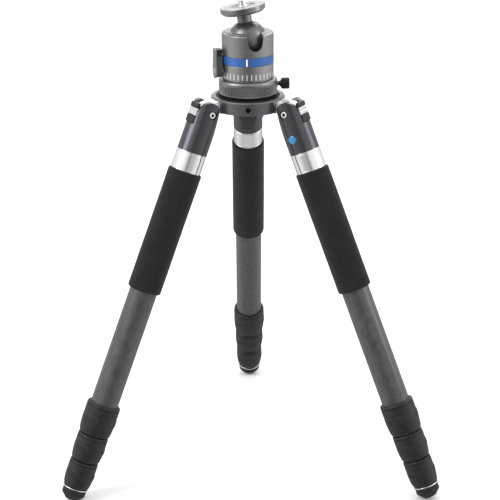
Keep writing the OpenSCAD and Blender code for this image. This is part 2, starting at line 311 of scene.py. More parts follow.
def mixed(tree, factor, a, b):
    n = add_node(tree, "ShaderNodeMix", data_type="RGBA")
    for socket, value in ((n.inputs[0], factor), (n.inputs[6], a), (n.inputs[7], b)):
        if isinstance(value, bpy.types.NodeSocket):
            tree.links.new(value, socket)
        else:
            socket.default_value = value
    return n.outputs[2]


def bumped(tree, height, strength, distance, normal=None):
    inputs = {"Height": height, "Strength": strength, "Distance": distance * MM}
    if normal:
        inputs["Normal"] = normal
    return add_node(tree, "ShaderNodeBump", inputs).outputs["Normal"]


def coordinates(tree, stretch=(1, 1, 1)):
    source = add_node(tree, "ShaderNodeTexCoord").outputs["Object"]
    return add_node(
        tree, "ShaderNodeMapping", {"Vector": source, "Scale": stretch}
    ).outputs["Vector"]


def metal(name, colour, rough, metallic=1.0, mottle=0.12, grain=0.15, turned=0.0, coat=0.0):
    """Anodised, blasted or turned alloy. turned is the strength of its fine tool lines."""
    mat, tree, bsdf = start_material(name)
    where = coordinates(tree)
    cloud = noise(tree, where, 160, 5)
    fine = noise(tree, where, 3200, 2)
    worn = tuple(c * (1 - mottle) for c in colour)
    lit = tuple(min(1.0, c * (1 + mottle)) for c in colour)
    base = mixed(tree, ranged(tree, cloud, 0, 1), rgb(*worn), rgb(*lit))
    scratch = noise(tree, coordinates(tree, (1, 1, 0.06)), 1400, 3)
    streak = ranged(tree, scratch, 0, 0.5, 0.58, 0.8)
    base = mixed(tree, streak, base, rgb(*lit))
    tree.links.new(base, bsdf.inputs["Base Color"])
    tree.links.new(
        ranged(tree, noise(tree, where, 420, 4), rough - 0.05, rough + 0.07),
        bsdf.inputs["Roughness"],
    )
    normal = bumped(tree, fine, grain, 0.05)
    if turned:
        lines = noise(tree, coordinates(tree, (0.02, 0.02, 1)), 5200, 1)
        normal = bumped(tree, lines, turned, 0.04, normal)
    tree.links.new(normal, bsdf.inputs["Normal"])
    bsdf.inputs["Metallic"].default_value = metallic
    bsdf.inputs["Coat Weight"].default_value = coat
    bsdf.inputs["Coat Roughness"].default_value = 0.12
    return mat


def plastic(name, colour, rough, grain=0.2, scale=1800, coat=0.0, mottle=0.25, specular=0.5):
    """Moulded plastic or rubber with a fine grain."""
    mat, tree, bsdf = start_material(name)
    where = coordinates(tree)
    cloud = noise(tree, where, 220, 4)
    dark = tuple(c * (1 - mottle) for c in colour)
    light = tuple(min(1.0, c * (1 + mottle)) for c in colour)
    tree.links.new(
        mixed(tree, ranged(tree, cloud, 0, 1), rgb(*dark), rgb(*light)),
        bsdf.inputs["Base Color"],
    )
    tree.links.new(
        ranged(tree, noise(tree, where, 600, 4), rough - 0.06, rough + 0.08),
        bsdf.inputs["Roughness"],
    )
    normal = bumped(tree, noise(tree, where, scale, 2), grain, 0.08)
    tree.links.new(normal, bsdf.inputs["Normal"])
    bsdf.inputs["Coat Weight"].default_value = coat
    bsdf.inputs["Coat Roughness"].default_value = 0.05
    bsdf.inputs["Specular IOR Level"].default_value = specular
    return mat


def foam_material(name, colour):
    """Closed-cell foam: matt, with fine open pores and a soft sheen."""
    mat, tree, bsdf = start_material(name)
    where = coordinates(tree)
    cells = add_node(
        tree, "ShaderNodeTexVoronoi", {"Vector": where, "Scale": 900}
    ).outputs["Distance"]
    cloud = noise(tree, where, 70, 5)
    pale = tuple(c * 1.7 for c in colour)
    body = mixed(tree, ranged(tree, cloud, 0, 0.7), rgb(*colour), rgb(*pale))
    pores = mixed(tree, ranged(tree, cells, 0.35, 0, 0.05, 0.35), body, rgb(0.006, 0.006, 0.006))
    tree.links.new(pores, bsdf.inputs["Base Color"])
    normal = bumped(tree, cells, 0.5, 0.25)
    normal = bumped(tree, noise(tree, where, 380, 5), 0.35, 0.3, normal)
    tree.links.new(normal, bsdf.inputs["Normal"])
    bsdf.inputs["Roughness"].default_value = 0.92
    bsdf.inputs["Sheen Weight"].default_value = 0.08
    bsdf.inputs["Sheen Roughness"].default_value = 0.5
    bsdf.inputs["Specular IOR Level"].default_value = 0.25
    return mat


def maths(tree, operation, a, b=0.0):
    n = add_node(tree, "ShaderNodeMath", operation=operation)
    for socket, value in ((n.inputs[0], a), (n.inputs[1], b)):
        if isinstance(value, bpy.types.NodeSocket):
            tree.links.new(value, socket)
        else:
            socket.default_value = value
    return n.outputs[0]


WEAVE_TURNS = 44
WEAVE_CELL = 2.6


def carbon_material(name, pale, dark):
    """Wound carbon under a clear lacquer: a fine twill and cloudy resin over it."""
    mat, tree, bsdf = start_material(name)
    source = add_node(tree, "ShaderNodeTexCoord").outputs["Object"]
    parts = add_node(tree, "ShaderNodeSeparateXYZ", {"Vector": source}).outputs
    angle = maths(tree, "ARCTAN2", parts["Y"], parts["X"])
    across = maths(tree, "MULTIPLY", angle, WEAVE_TURNS)
    along = maths(tree, "MULTIPLY", parts["Z"], 2 * pi / (WEAVE_CELL * MM))
    twill = maths(tree, "SINE", maths(tree, "ADD", across, along))
    cross = maths(tree, "SINE", maths(tree, "SUBTRACT", across, along))
    weave = maths(tree, "MULTIPLY", twill, cross)
    where = coordinates(tree)
    cloud = noise(tree, where, 90, 6, 0.65)
    streak = noise(tree, coordinates(tree, (1, 1, 0.12)), 700, 4)
    tone = maths(tree, "ADD", ranged(tree, weave, 0.0, 0.35, -1, 1),
                 ranged(tree, cloud, 0.0, 0.35))
    tone = maths(tree, "ADD", tone, ranged(tree, streak, 0.0, 0.3))
    tree.links.new(mixed(tree, tone, rgb(*dark), rgb(*pale)), bsdf.inputs["Base Color"])
    tree.links.new(ranged(tree, cloud, 0.34, 0.5), bsdf.inputs["Roughness"])
    tree.links.new(bumped(tree, weave, 0.12, 0.05), bsdf.inputs["Normal"])
    bsdf.inputs["Metallic"].default_value = 0.25
    bsdf.inputs["Coat Weight"].default_value = 0.6
    bsdf.inputs["Coat Roughness"].default_value = 0.22
    return mat


def paint(name, colour, rough=0.4):
    return plastic(name, colour, rough, grain=0.08, mottle=0.04)


MATERIALS = {
    "polished": metal("polished_alloy", (0.86, 0.86, 0.85), 0.22, mottle=0.05, grain=0.08),
    "sleeve": metal("turned_sleeve", (0.88, 0.88, 0.865), 0.20, mottle=0.03, turned=0.25),
    "dark": metal("dark_anodised", (0.092, 0.092, 0.101), 0.27, 0.9, mottle=0.05),
    "hub": metal("hub_anodised", (0.15, 0.15, 0.16), 0.36, 0.8, mottle=0.12),
    "head": metal("head_satin", (0.255, 0.252, 0.248), 0.36, 0.85, mottle=0.04, turned=0.12),
    "knurl": metal("knurled_satin", (0.225, 0.225, 0.225), 0.34, 0.88, mottle=0.06, turned=0.05),
    "scale": metal("scale_drum", (0.29, 0.287, 0.282), 0.32, 0.85, mottle=0.05, turned=0.2),
    "ball": metal("ball_satin", (0.165, 0.165, 0.17), 0.34, 0.85, mottle=0.04, grain=0.08),
    # painted light: a lighter copy of the platform alloy for its top face, lit from above
    "lit_top": metal("platform_top_lit_alloy", (0.44, 0.435, 0.44), 0.32, 0.95, mottle=0.04,
                  turned=0.2),
    "platform": metal("platform_satin", (0.26, 0.255, 0.265), 0.28, 0.95, mottle=0.03,
                      turned=0.2),
    "lever": metal("lever_dark", (0.075, 0.077, 0.080), 0.42, 0.5, mottle=0.12),
    "lever_plate": metal("lever_plate", (0.20, 0.20, 0.205), 0.38, 0.6, mottle=0.08),
    "blue": metal("blue_anodised", (0.034, 0.120, 0.37), 0.38, 0.35, mottle=0.05, turned=0.3),
    "steel": metal("bright_steel", (0.78, 0.78, 0.77), 0.18, mottle=0.05, turned=0.2),
    "button": plastic("blue_gloss", (0.012, 0.19, 0.40), 0.16, 0.03, coat=1.0, mottle=0.12),
    "lock": plastic("lock_rubber", (0.013, 0.013, 0.014), 0.42, 0.25, specular=0.35),
    "foot": plastic("foot_rubber", (0.014, 0.014, 0.014), 0.6, 0.4, 1300, specular=0.3),
    # black plastic; also used as painted shade in the bolt sockets and the drop notch
    "black": plastic("black_plastic", (0.010, 0.010, 0.011), 0.36, 0.15, specular=0.4),
    # black rubber; also used for the painted shade lip on the hub's top
    "gasket": plastic("gasket_rubber", (0.006, 0.006, 0.007), 0.6, 0.25, specular=0.12),
    "seat": plastic("seat_plastic", (0.72, 0.70, 0.64), 0.4, 0.1, mottle=0.04),
    "mark": paint("white_mark", (0.9, 0.9, 0.9)),
    "tick": metal("bright_mark", (0.60, 0.60, 0.59), 0.34, 0.3, mottle=0.03, grain=0.05),
    "foam": foam_material("grip_foam", (0.0085, 0.0085, 0.0085)),
    "carbon": carbon_material("wound_carbon", (0.090, 0.090, 0.093), (0.015, 0.015, 0.017)),
}


# ---------------------------------------------------------------- hub and spider

def make_hub():
    dress(refined("spider_forging", "spider", WORLD, 0.9), MATERIALS["polished"],
          "root", "polished_alloy", "spider")
    dress(refined("hub_body", "hub", WORLD, 0.5), MATERIALS["hub"],
          "root", "dark_alloy", "hub")
    dress(refined("leg_bolts", "hinge_bolts", WORLD, 0.3), MATERIALS["steel"],
          "root", "steel", "hinge_bolts")
    dress(refined("hub_screw", "head_stud", WORLD, 0.3), MATERIALS["steel"],
          "root", "steel", "head_stud")
    for side in LEGS:
        make_socket_shades(side)
    make_socket_thread()
    make_hub_set_screw()


def make_socket_shades(side):
    """Black discs on the floors of a hinge bolt's hexagon socket and of its nut's eye: painted
    shade for their dark insides.
    """
    place = turn(LEGS[side], "Z") @ shift(HINGE_R, 0, HINGE_Z) @ TO_FRONT
    # painted shade: a black disc at the bottom of the hexagon socket
    hexagon = slab(f"socket_floor_shade_{side}", arc(0, 0, 2.25, 0, 300, 5), 16.75, 17.0, place, 0.05)
    dress(hexagon, MATERIALS["black"], "root", "steel")
    # painted shade: a black disc in the nut's eye
    eye = lathe(f"nut_eye_shade_{side}", rounded([(0, -17.65), (1.95, -17.65), (1.95, -17.9, 0.05),
                                            (0, -17.9)]), place, 32)
    dress(eye, MATERIALS["black"], "root", "steel")


THREAD_PITCH = 1.5875


def threaded(r, depth, z0, z1):
    """A lathe's shape() for a right-hand thread between z0 and z1, r at its crest."""
    def shape(angle, radius, z):
        if radius < r - 0.3:
            return radius
        phase = ((z - z0) / THREAD_PITCH - angle / (2 * pi)) % 1.0
        ridge = 1 - abs(2 * phase - 1)
        cut = depth * (1 - min(1.0, 1.25 * ridge))
        return radius - cut * window(z, z0 - 0.01, z1 + 0.01, 0.6)
    return shape


def make_socket_thread():
    """The thread inside the hub's accessory socket, which opens to the front."""
    mouth = 47
    depth = 11.9
    bore = 3.97

    def shape(angle, radius, z):
        if radius > bore:
            return radius
        phase = (z / THREAD_PITCH - angle / (2 * pi)) % 1.0
        return radius - 0.55 * (1 - abs(2 * phase - 1)) * window(z, 0.4, depth, 0.8)

    rows = spread_rows(0.1, depth - 0.5, 70)
    profile = [(bore - 0.02, z) for z in reversed(rows)]
    profile += [(bore + 0.2, rows[0]), (bore + 0.2, rows[-1])]
    place = shift(0, -mouth + depth, HINGE_Z + 5.8) @ TO_FRONT
    ring = lathe("socket_thread", profile, place, 64, shape, loop=True)
    dress(ring, MATERIALS["hub"], "root", "dark_alloy")


def make_hub_set_screw():
    """A small grub screw set in the hub's wall, beside the socket."""
    azimuth = -68
    place = turn(azimuth, "Z") @ shift(z=HINGE_Z + 10.6) @ TO_X
    profile = rounded([(0, 45.4), (2.1, 45.4), (2.1, 47.3, 0.3), (1.1, 47.3, 0.1),
                       (0.9, 46.4), (0, 46.4)])
    dress(lathe("hub_grub_screw", profile, place, 32), MATERIALS["hub"],
          "root", "dark_alloy")


# ---------------------------------------------------------------- pan base

BASE_Z = low("pan_base").z
BASE_R = -low("pan_base").y
BASE_H = 19.5
KNURLS = 90
KNURL_TOP = 14
DRUM_R = -low("drum").y
DRUM_Z = BASE_Z + BASE_H + 0.3
RING_Z = low("drag_ring").z
RING_TOP = high("drag_ring").z
RING_R = -low("drag_ring").y
KNOB_Z = BASE_Z + 11.4
# how far the black lip of painted shade reaches over the hub's top
GASKET_SHADE_R = 40.9


def make_gasket():
    """The black ring that carries the pan base, with a thin black lip spread on the hub: under
    the ring it is the gasket itself, past its edge painted shade, the hub's top dark under the
    base and mirroring it.
    """
    z0 = low("base_gasket").z
    r = -low("base_gasket").y
    rubber = rounded([
        (4.8, 0.1, 0.3), (r - 3.5, 0.1, 0.3), (r - 3.5, 1.55), (r - 0.1, 1.55, 0.3),
        (r + 0.1, 2.0, 0.3), (r + 0.1, 2.85, 0.3), (4.8, 2.95, 0.3)], loop=True)
    dress(lathe("gasket_rubber", rubber, shift(z=z0), 128, loop=True),
          MATERIALS["gasket"], "root", "black_plastic", "base_gasket")
    # painted shade: past the gasket's edge the black lip stands for the hub's top in shade,
    # mirroring the dark base
    lip = rounded([(r - 3.4, 0.04), (GASKET_SHADE_R, 0.04, 0.1), (GASKET_SHADE_R - 0.3, 0.5, 0.2),
                   (r - 0.3, 1.0, 0.3), (r - 0.3, 1.5), (r - 3.4, 1.5)], loop=True)
    dress(lathe("gasket_shade_lip", lip, shift(z=z0), 128, loop=True),
          MATERIALS["gasket"], "root", "black_plastic", "base_gasket")


def make_pan_base():
    """The knurled ring that stays on the hub, with the post the head turns on."""
    knurl_depth = 0.9

    def knurl(angle, r, z):
        if r < BASE_R - 0.5:
            return r
        groove = abs(cos(KNURLS * angle / 2)) ** 3
        return r - knurl_depth * groove * window(z, 0.7, KNURL_TOP, 0.8)

    outer = [(BASE_R - 0.15, z) for z in spread_rows(1.0, KNURL_TOP, 12)]
    profile = rounded(
        [(0, 0), (BASE_R - 1.0, 0.02, 0.8)] + outer
        + [(BASE_R, 14.7, 0.4), (BASE_R, 17.3, 1.4), (BASE_R - 2.0, BASE_H, 1.1),
           (29.7, BASE_H, 0.5), (29.7, 4.6), (12, 4.6), (12, 22.3, 0.5), (0, 22.3)])
    ring = lathe("pan_base_knurled", profile, shift(z=BASE_Z), KNURLS * 6, knurl)
    dress(ring, MATERIALS["knurl"], "root", "head_alloy", "pan_base")
    boss = rounded([(3.1, 33), (5, 33), (5, 37.7, 0.5), (3.1, 37.7, 0.2)], loop=True)
    dress(lathe("pan_knob_boss", boss, shift(z=KNOB_Z) @ TO_X, 48, loop=True),
          MATERIALS["knurl"], "root", "head_alloy", "pan_base")


def make_pan_knob():
    place = shift(z=KNOB_Z) @ TO_X
    scallops = 14

    def grip(angle, r, z):
        if r < 6.4:
            return r
        dip = max(0.0, cos(scallops * angle)) ** 2
        return r - 0.7 * dip * window(z, 42.8, 52.4, 0.9)

    knob = rounded([(0, 41.9), (5.4, 41.9, 0.4), (7.2, 43.3, 0.8)]
                   + [(7.2, z) for z in spread_rows(44, 51.2, 8)]
                   + [(7.2, 51.9, 0.6), (6.1, 53, 0.7), (4.6, 53, 0.3),
                      (4.4, 52.5, 0.2), (0, 52.5)])
    dress(lathe("pan_knob_grip", knob, place, scallops * 10, grip),
          MATERIALS["black"], "pan_knob", "black_plastic", "pan_knob")
    stem = rounded([(0, 30.2), (2.95, 30.2, 0.4), (2.95, 40.2, 0.2), (4.2, 40.6, 0.3),
                    (4.2, 42.2), (0, 42.2)])
    dress(lathe("pan_knob_stem", stem, place, 48), MATERIALS["dark"],
          "pan_knob", "black_plastic", "pan_knob")


# ---------------------------------------------------------------- the turning head

def wrapped_bar(r, azimuth, width, z0, z1, proud=0.12):
    """A thin upright mark on a round wall, bent to follow it."""
    half = width / 2 / r
    outline = [(-half, z0 + 0.3), (-half + 0.3 / r, z0), (half - 0.3 / r, z0),
               (half, z0 + 0.3), (half, z1 - 0.3), (half - 0.3 / r, z1),
               (-half + 0.3 / r, z1), (-half, z1 - 0.3)]
    verts = []
    for radius in (r - 0.15, r + proud):
        for a, z in outline:
            b = radians(azimuth) + a
            verts.append((radius * cos(b), radius * sin(b), z))
    n = len(outline)
    faces = [list(range(n)), list(range(n, 2 * n))]
    faces += [[i, (i + 1) % n, n + (i + 1) % n, n + i] for i in range(n)]
    return verts, faces


def merged(name, parts, place, bevel=0):
    """One mesh object from several lists of points and faces."""
    verts, faces = [], []
    for v, f in parts:
        faces += [[i + len(verts) for i in face] for face in f]
        verts += v
    return piece(name, verts, faces, place, bevel)


TICKS = 36
# direction of the index mark, and of one of the scale's strokes
INDEX_AZ = -92


def make_drum():
    top = DRUM_Z + 19.9
    skirt = BASE_Z + 4.9
    room = BASE_Z + 23.4
    groove = DRUM_Z + 1.0
    profile = rounded([
        (12.05, skirt, 0.3), (29.55, skirt, 0.4), (29.55, DRUM_Z), (DRUM_R - 0.1, DRUM_Z, 0.5),
        (DRUM_R - 0.1, groove, 0.1), (DRUM_R - 0.6, groove + 0.1), (DRUM_R - 0.6, groove + 0.7),
        (DRUM_R, groove + 0.8, 0.1), (DRUM_R, top - 0.02, 0.4), (20, top - 0.02, 0.4),
        (20, room), (12.05, room, 0.3)], loop=True)
    dress(lathe("scale_drum", profile, WORLD, 144, loop=True),
          MATERIALS["scale"], "head", "head_alloy", "drum")
    ticks = [wrapped_bar(DRUM_R, 360 * k / TICKS + INDEX_AZ, 1.5, DRUM_Z + 2.7, DRUM_Z + 9.9)
             for k in range(TICKS)]
    dress(merged("scale_ticks", ticks, WORLD), MATERIALS["tick"], "head", "head_alloy", "drum")


def make_drag_ring():
    """The blue friction ring: fine grooves all round and one white index mark."""
    inner = 29.1
    pitch = 1.45
    depth = 0.16
    z = RING_Z + 1.4
    points = [(inner, RING_Z + 0.1, 0.3), (RING_R - 0.05, RING_Z + 0.05, 0.6)]
    while z < RING_TOP - 1.5:
        points += [(RING_R, z - 0.28), (RING_R - depth, z - 0.08),
                   (RING_R - depth, z + 0.08), (RING_R, z + 0.28)]
        z += pitch
    points += [(RING_R - 0.05, RING_TOP - 0.05, 0.6), (inner, RING_TOP - 0.1, 0.3)]
    dress(lathe("drag_ring_grooved", rounded(points, loop=True), WORLD, 144, loop=True),
          MATERIALS["blue"], "drag_ring", "blue_alloy", "drag_ring")
    mark = wrapped_bar(RING_R, INDEX_AZ, 1.7, RING_Z + 0.7, RING_TOP - 0.7, 0.1)
    dress(merged("drag_ring_index", [mark], WORLD), MATERIALS["mark"],
          "drag_ring", "blue_alloy", "drag_ring")


def make_notch_shade():
    """A black strip on the drop notch's round bottom and its walls: painted shade, standing for
    the dark gap between the ball and the housing there.
    """
    inner = 24.9
    outer = DRUM_R - 0.7
    rise = 6.5
    side = NOTCH_R + NOTCH_FLARE * rise
    line = [(-side, rise)] + arc(0, 0, NOTCH_R, 180, 360, 18) + [(side, rise)]
    verts = []
    for y, z in line:
        x0 = max(sqrt(inner ** 2 - y * y - z * z), 21)
        x1 = sqrt(outer ** 2 - y * y)
        for gap in (-0.05, 0.13):
            k = 1 - gap / NOTCH_R
            verts += [(x0, y * k, z * k), (x1, y * k, z * k)]
    faces = [(0, 1, 3, 2)]
    for a in range(0, 4 * (len(line) - 1), 4):
        b = a + 4
        faces += [(a, b, b + 1, a + 1), (a + 2, a + 3, b + 3, b + 2),
                  (a, a + 2, b + 2, b), (a + 1, b + 1, b + 3, a + 3)]
    last = 4 * (len(line) - 1)
    faces.append((last, last + 2, last + 3, last + 1))
    place = shift(z=BALL_Z) @ turn(NOTCH_AZ, "Z")
    # painted shade in the drop notch
    dress(piece("notch_shade_strip", verts, faces, place), MATERIALS["black"],
          "head", "black_plastic")


def make_housing():
    dress(refined("ball_housing", "housing", WORLD, 0.45), MATERIALS["head"],
          "head", "head_alloy", "housing")
    dress(refined("seat_ring", "ball_seat", WORLD, 0.3), MATERIALS["seat"],
          "ball_seat", "seat_plastic", "ball_seat")


LEVER_AZ = 195
SPINDLE_Z = DRUM_Z + 10.7
LEVER_IN = 34.2


def lever_outline(margin, top, bottom_r, half):
    """The lever seen from outside: a round hub with a straight paddle over it."""
    hub = arc(0, 0, bottom_r - margin, 185, 355, 20)
    w = half - margin
    t = top - margin
    return hub + [(bottom_r - margin, 1.5), (w, 17), (w, t - 1.5), (w - 1.5, t),
                  (-w + 1.5, t), (-w, t - 1.5), (-w, 17), (-bottom_r + margin, 1.5)]


def make_lever():
    # local X runs along the head's wall, local Y up, local Z outward
    axes = Matrix(((0, 0, 1, 0), (1, 0, 0, 0), (0, 1, 0, 0), (0, 0, 0, 1)))
    place = turn(LEVER_AZ, "Z") @ shift(LEVER_IN, 0, SPINDLE_Z) @ axes
    body = slab("lever_body", lever_outline(1.0, 21.4, 9.2, 7), 0.05, 7.0, place, 0.8)
    dress(body, MATERIALS["lever"], "lock_lever", "lever_alloy", "lock_lever")
    plate = slab("lever_plate", lever_outline(0, 28.5, 9.2, 7), 7.1, 9.8, place, 0.9)
    dress(plate, MATERIALS["lever_plate"], "lock_lever", "lever_alloy", "lock_lever")
    tip = slab("lever_tip", [(-6.4, 21.6), (6.4, 21.6), (6.4, 27.2), (5.2, 28.2),
                             (-5.2, 28.2), (-6.4, 27.2)], 0.3, 7.05, place, 0.7)
    dress(tip, MATERIALS["black"], "lock_lever", "black_plastic", "lock_lever")
    screw = rounded([(0, 8), (3.4, 8), (3.4, 10.1, 0.4), (1.9, 10.1, 0.1), (1.7, 8.9), (0, 8.9)])
    dress(lathe("lever_screw", screw, place, 40), MATERIALS["steel"],
          "lock_lever", "steel", "lock_lever")
    shaft = turn(LEVER_AZ, "Z") @ shift(z=SPINDLE_Z) @ TO_X
    spindle = rounded([(0, -6), (2.5, -6, 0.3), (2.5, 6), (3.5, 6.2, 0.2),
                       (3.5, LEVER_IN - 0.1, 0.2), (0, LEVER_IN - 0.1)])
    dress(lathe("lever_spindle", spindle, shaft, 40), MATERIALS["steel"],
          "lock_lever", "steel", "lock_spindle")


PLATE_S = 34
PLATE_R = 28.4
PLATE_H = 9.2
DISH_R = 16


def make_ball():
    """The ball and its neck in one turned piece, with a small fillet between them."""
    join = sqrt(BALL_R ** 2 - (NECK_R + 0.25) ** 2)
    sweep = 90 - degrees(acos(join / BALL_R))
    sphere = [(BALL_R * cos(radians(a)), BALL_R * sin(radians(a)))
              for a in spread_rows(-90, sweep, 40)]
    sphere[0] = (0, -BALL_R)
    profile = rounded([p for p in sphere] + [
        (NECK_R, join + 0.3, 0.3), (NECK_R, PLATE_S - 1.0, 0.5),
        (NECK_R + 1.0, PLATE_S - 0.1, 0.2), (0, PLATE_S - 0.1)])
    dress(lathe("ball_and_neck", profile, NECK, 128), MATERIALS["ball"],
          "ball", "head_alloy", "ball")


def make_platform():
    """The round platform, with a lighter turned ring laid on its top round the dish: painted
    light, the top face lit from above.
    """
    r = PLATE_R
    top = PLATE_S + PLATE_H
    points = [(0, PLATE_S), (r - 4, PLATE_S, 0.6), (r - 0.6, PLATE_S + 2.6, 0.4),
              (r - 0.6, PLATE_S + 3.4, 0.15), (r, PLATE_S + 3.7, 0.2)]
    for z in (PLATE_S + 5.4, PLATE_S + 6.6):
        points += [(r, z - 0.16), (r - 0.22, z), (r, z + 0.16)]
    points += [(r, top - 0.6, 0.3), (r - 0.6, top, 0.3)]
    points += [(DISH_R, top, 0.3), (DISH_R - 0.2, top - 0.8, 0.3), (7.1, top - 0.8, 0.2),
               (7.1, top - 1.9), (0, top - 1.9)]
    dress(lathe("camera_platform", rounded(points), NECK, 128), MATERIALS["platform"],
          "platform", "head_alloy", "platform")
    # painted light: a lighter copy of the platform's alloy on its top face
    lit_top = rounded([(DISH_R + 0.4, top - 0.3), (r - 1.2, top - 0.3), (r - 1.2, top + 0.1, 0.1),
                    (DISH_R + 0.4, top + 0.1, 0.1)], loop=True)
    dress(lathe("platform_top_lit_ring", lit_top, NECK, 128, loop=True), MATERIALS["lit_top"],
          "platform", "head_alloy")
    make_camera_screw(top)


def make_camera_screw(top):
    r = 4.76
    foot = top - 1.95
    end = top - 0.8 + 0.4 + 8
    rows = spread_rows(foot + 2.0, end - 0.9, 90)
    points = [(0, foot), (6.9, foot, 0.2), (6.9, foot + 1.5, 0.3), (r + 0.4, foot + 1.5, 0.2)]
    points += [(r, z) for z in rows] + [(r - 0.9, end, 0.3), (0, end)]
    screw = lathe("camera_screw_thread", rounded(points), NECK, 64,
                  threaded(r, 0.75, rows[0], rows[-1]))
    dress(screw, MATERIALS["steel"], "platform", "steel", "camera_screw")


# ---------------------------------------------------------------- one leg

TUBE_R = (18, 16.1, 14.2, 12.4)
TUBE_WALL = (1.8, 1.5, 1.5, 1.5)
LOCK_S = (398, 441.1, 478.2)
LOCK_L = (42.4, 36.4, 36.2)
LOCK_R = (22.6, 20.7, 19.2)
LOCK_SEAT = 17.5
FORK_END_S = 52.5
SLEEVE_END_S = 78
FOAM_END_S = 240.2
RING_S = 514.9
FOOT_S = 516.6
LEG_L = 532
PLUG_END_S = 90
TOP_STEP = 5


def leg_profile(name, side, points, **keys):
    """A ring turned round one leg's axis. Its heights are minus distances down the leg."""
    return lathe(f"{name}_{side}", rounded(points, loop=True), LEG_PLACE[side],
                 loop=True, **keys)


def make_sleeve(side, body):
    r = 19.4
    z0, z1 = -SLEEVE_END_S, -FORK_END_S - 0.05
    points = [(18.1, z0), (r, z0, 0.5)]
    for z in (z0 + 1.9, z1 - 1.9):
        points += [(r, z - 0.4, 0.1), (r - 0.45, z - 0.3), (r - 0.45, z + 0.3), (r, z + 0.4, 0.1)]
    points += [(r, z1, 0.4), (18.1, z1)]
    ring = leg_profile("sleeve_turned", side, points, segments=128)
    dress(ring, MATERIALS["sleeve"], body, "polished_alloy", f"sleeve_{side}")


def make_foam(side, body):
    r = 21.75
    z0, z1 = -FOAM_END_S, -SLEEVE_END_S - 0.25

    def soft(angle, radius, z):
        if radius < r - 3:
            return radius
        wave = sin(2 * angle + z * 0.045) + 0.6 * sin(3 * angle - z * 0.11 + 1)
        wave += 0.4 * sin(5 * angle + z * 0.23)
        return radius + 0.055 * wave

    wall = [(r, z) for z in spread_rows(z0 + 2.5, z1 - 2.5, 40)]
    points = ([(18.06, z0, 0.3), (r - 0.6, z0, 1.4)] + wall
              + [(r - 0.4, z1, 1.4), (18.06, z1, 0.3)])
    grip = leg_profile("foam_grip_soft", side, points, segments=96, shape=soft)
    dress(grip, MATERIALS["foam"], body, "foam", f"foam_grip_{side}")


def make_tube(side, n, body):
    r = TUBE_R[n - 1]
    inner = r - TUBE_WALL[n - 1]
    start = FORK_END_S if n == 1 else PLUG_END_S + TOP_STEP * (n - 1)
    end = LOCK_S[n - 1] + LOCK_SEAT if n < 4 else FOOT_S + 7.5
    points = [(inner, -end, 0.3), (r, -end, 0.4), (r, -start, 0.4), (inner, -start, 0.3)]
    tube = leg_profile(f"tube{n}_wound", side, points, segments=96)
    dress(tube, MATERIALS["carbon"], body, "carbon", f"tube{n}_{side}")


RIB_GROUPS = 3
RIBS = 6
RIB_PITCH = 10


def rib_height(angle, phase):
    """How far a lock's rib stands out at this angle, from 0 to 1."""
    third = 360 / RIB_GROUPS
    a = (angle * 180 / pi - phase) % third
    span = RIBS * RIB_PITCH
    if a > span:
        return 0.0
    return max(0.0, cos(pi * ((a % RIB_PITCH) / RIB_PITCH - 0.5) * 2)) ** 0.7


def make_lock(side, n, body):
    l, r = LOCK_L[n - 1], LOCK_R[n - 1]
    base = -LOCK_S[n - 1] - l
    bore = TUBE_R[n] + 0.3
    seat = TUBE_R[n - 1] + 0.1
    rib0, rib1 = 0.37 * l, 0.63 * l
    phase = 120

    def ribbed(angle, radius, z):
        if radius < r - 2.5:
            return radius
        height = rib_height(angle, phase) * window(z - base, rib0, rib1, 1.2)
        return radius - 0.35 + 0.5 * height

    lower = [(r - 3.6, 0.05, 1.2), (r - 1.6, 2.6, 1.6), (r - 0.55, 0.26 * l, 3.0)]
    middle = [(r - 0.1 - 0.25 * abs(2 * t - 1) ** 2, rib0 - 1 + (rib1 - rib0 + 2) * t)
              for t in spread_rows(0, 1, 14)]
    upper = [(r - 0.1, 0.72 * l, 2.0), (r - 0.25, l - 5.2, 0.3)]
    for z in (l - 4.6, l - 2.9):
        upper += [(r - 0.25, z - 0.35, 0.1), (r - 0.8, z - 0.2), (r - 0.8, z + 0.2),
                  (r - 0.25, z + 0.35, 0.1)]
    upper += [(r - 0.4, l - 1.2, 0.6), (r - 1.7, l, 0.7)]
    points = ([(bore, 0.05, 0.4)] + lower + middle + upper
              + [(seat, l, 0.5), (seat, l - LOCK_SEAT - 0.6), (bore, l - LOCK_SEAT - 0.6)])
    placed = [(p[0], p[1] + base, *p[2:]) for p in points]
    lock = leg_profile(f"lock{n}_ribbed", side, placed, segments=288, shape=ribbed)
    dress(lock, MATERIALS["lock"], body, "lock_rubber", f"lock{n}_{side}")


def make_foot(side, body):
    z0 = -LEG_L
    h = LEG_L - FOOT_S
    r = 15.4
    flutes = 20

    def tread(angle, radius, z):
        if radius < 9.4:
            return radius
        cut = max(0.0, cos(flutes * angle)) ** 3
        return radius - 0.55 * cut * window(z - z0, 0.6, 8.6, 1.5)

    points = ([(0, 0), (8.4, 0.02, 0.6), (9.2, 0.35, 0.3)]
              + [(9.4 + (r - 9.4) * t, 0.6 + 6.4 * t) for t in spread_rows(0.05, 0.95, 8)]
              + [(r, 7.2, 0.8), (r, 8.6), (r, 10.2, 0.2), (r - 0.4, 10.5), (r - 0.4, 11.2),
                 (r, 11.5, 0.2), (r, h - 0.9, 0.4), (r - 0.8, h - 0.05, 0.4),
                 (12.45, h - 0.05, 0.2), (12.45, h - 8), (0, h - 8)])
    placed = [(p[0], p[1] + z0, *p[2:]) for p in points]
    foot = lathe(f"foot_tread_{side}", rounded(placed), LEG_PLACE[side], flutes * 8, tread)
    dress(foot, MATERIALS["foot"], body, "foot_rubber", f"foot_{side}")
    ring = [(12.5, -FOOT_S + 0.1), (16.5, -FOOT_S + 0.1, 0.5), (16.5, -RING_S - 0.05, 0.5),
            (12.5, -RING_S - 0.05)]
    dress(leg_profile("foot_ring_bright", side, ring, segments=96), MATERIALS["steel"],
          body, "steel", f"foot_ring_{side}")


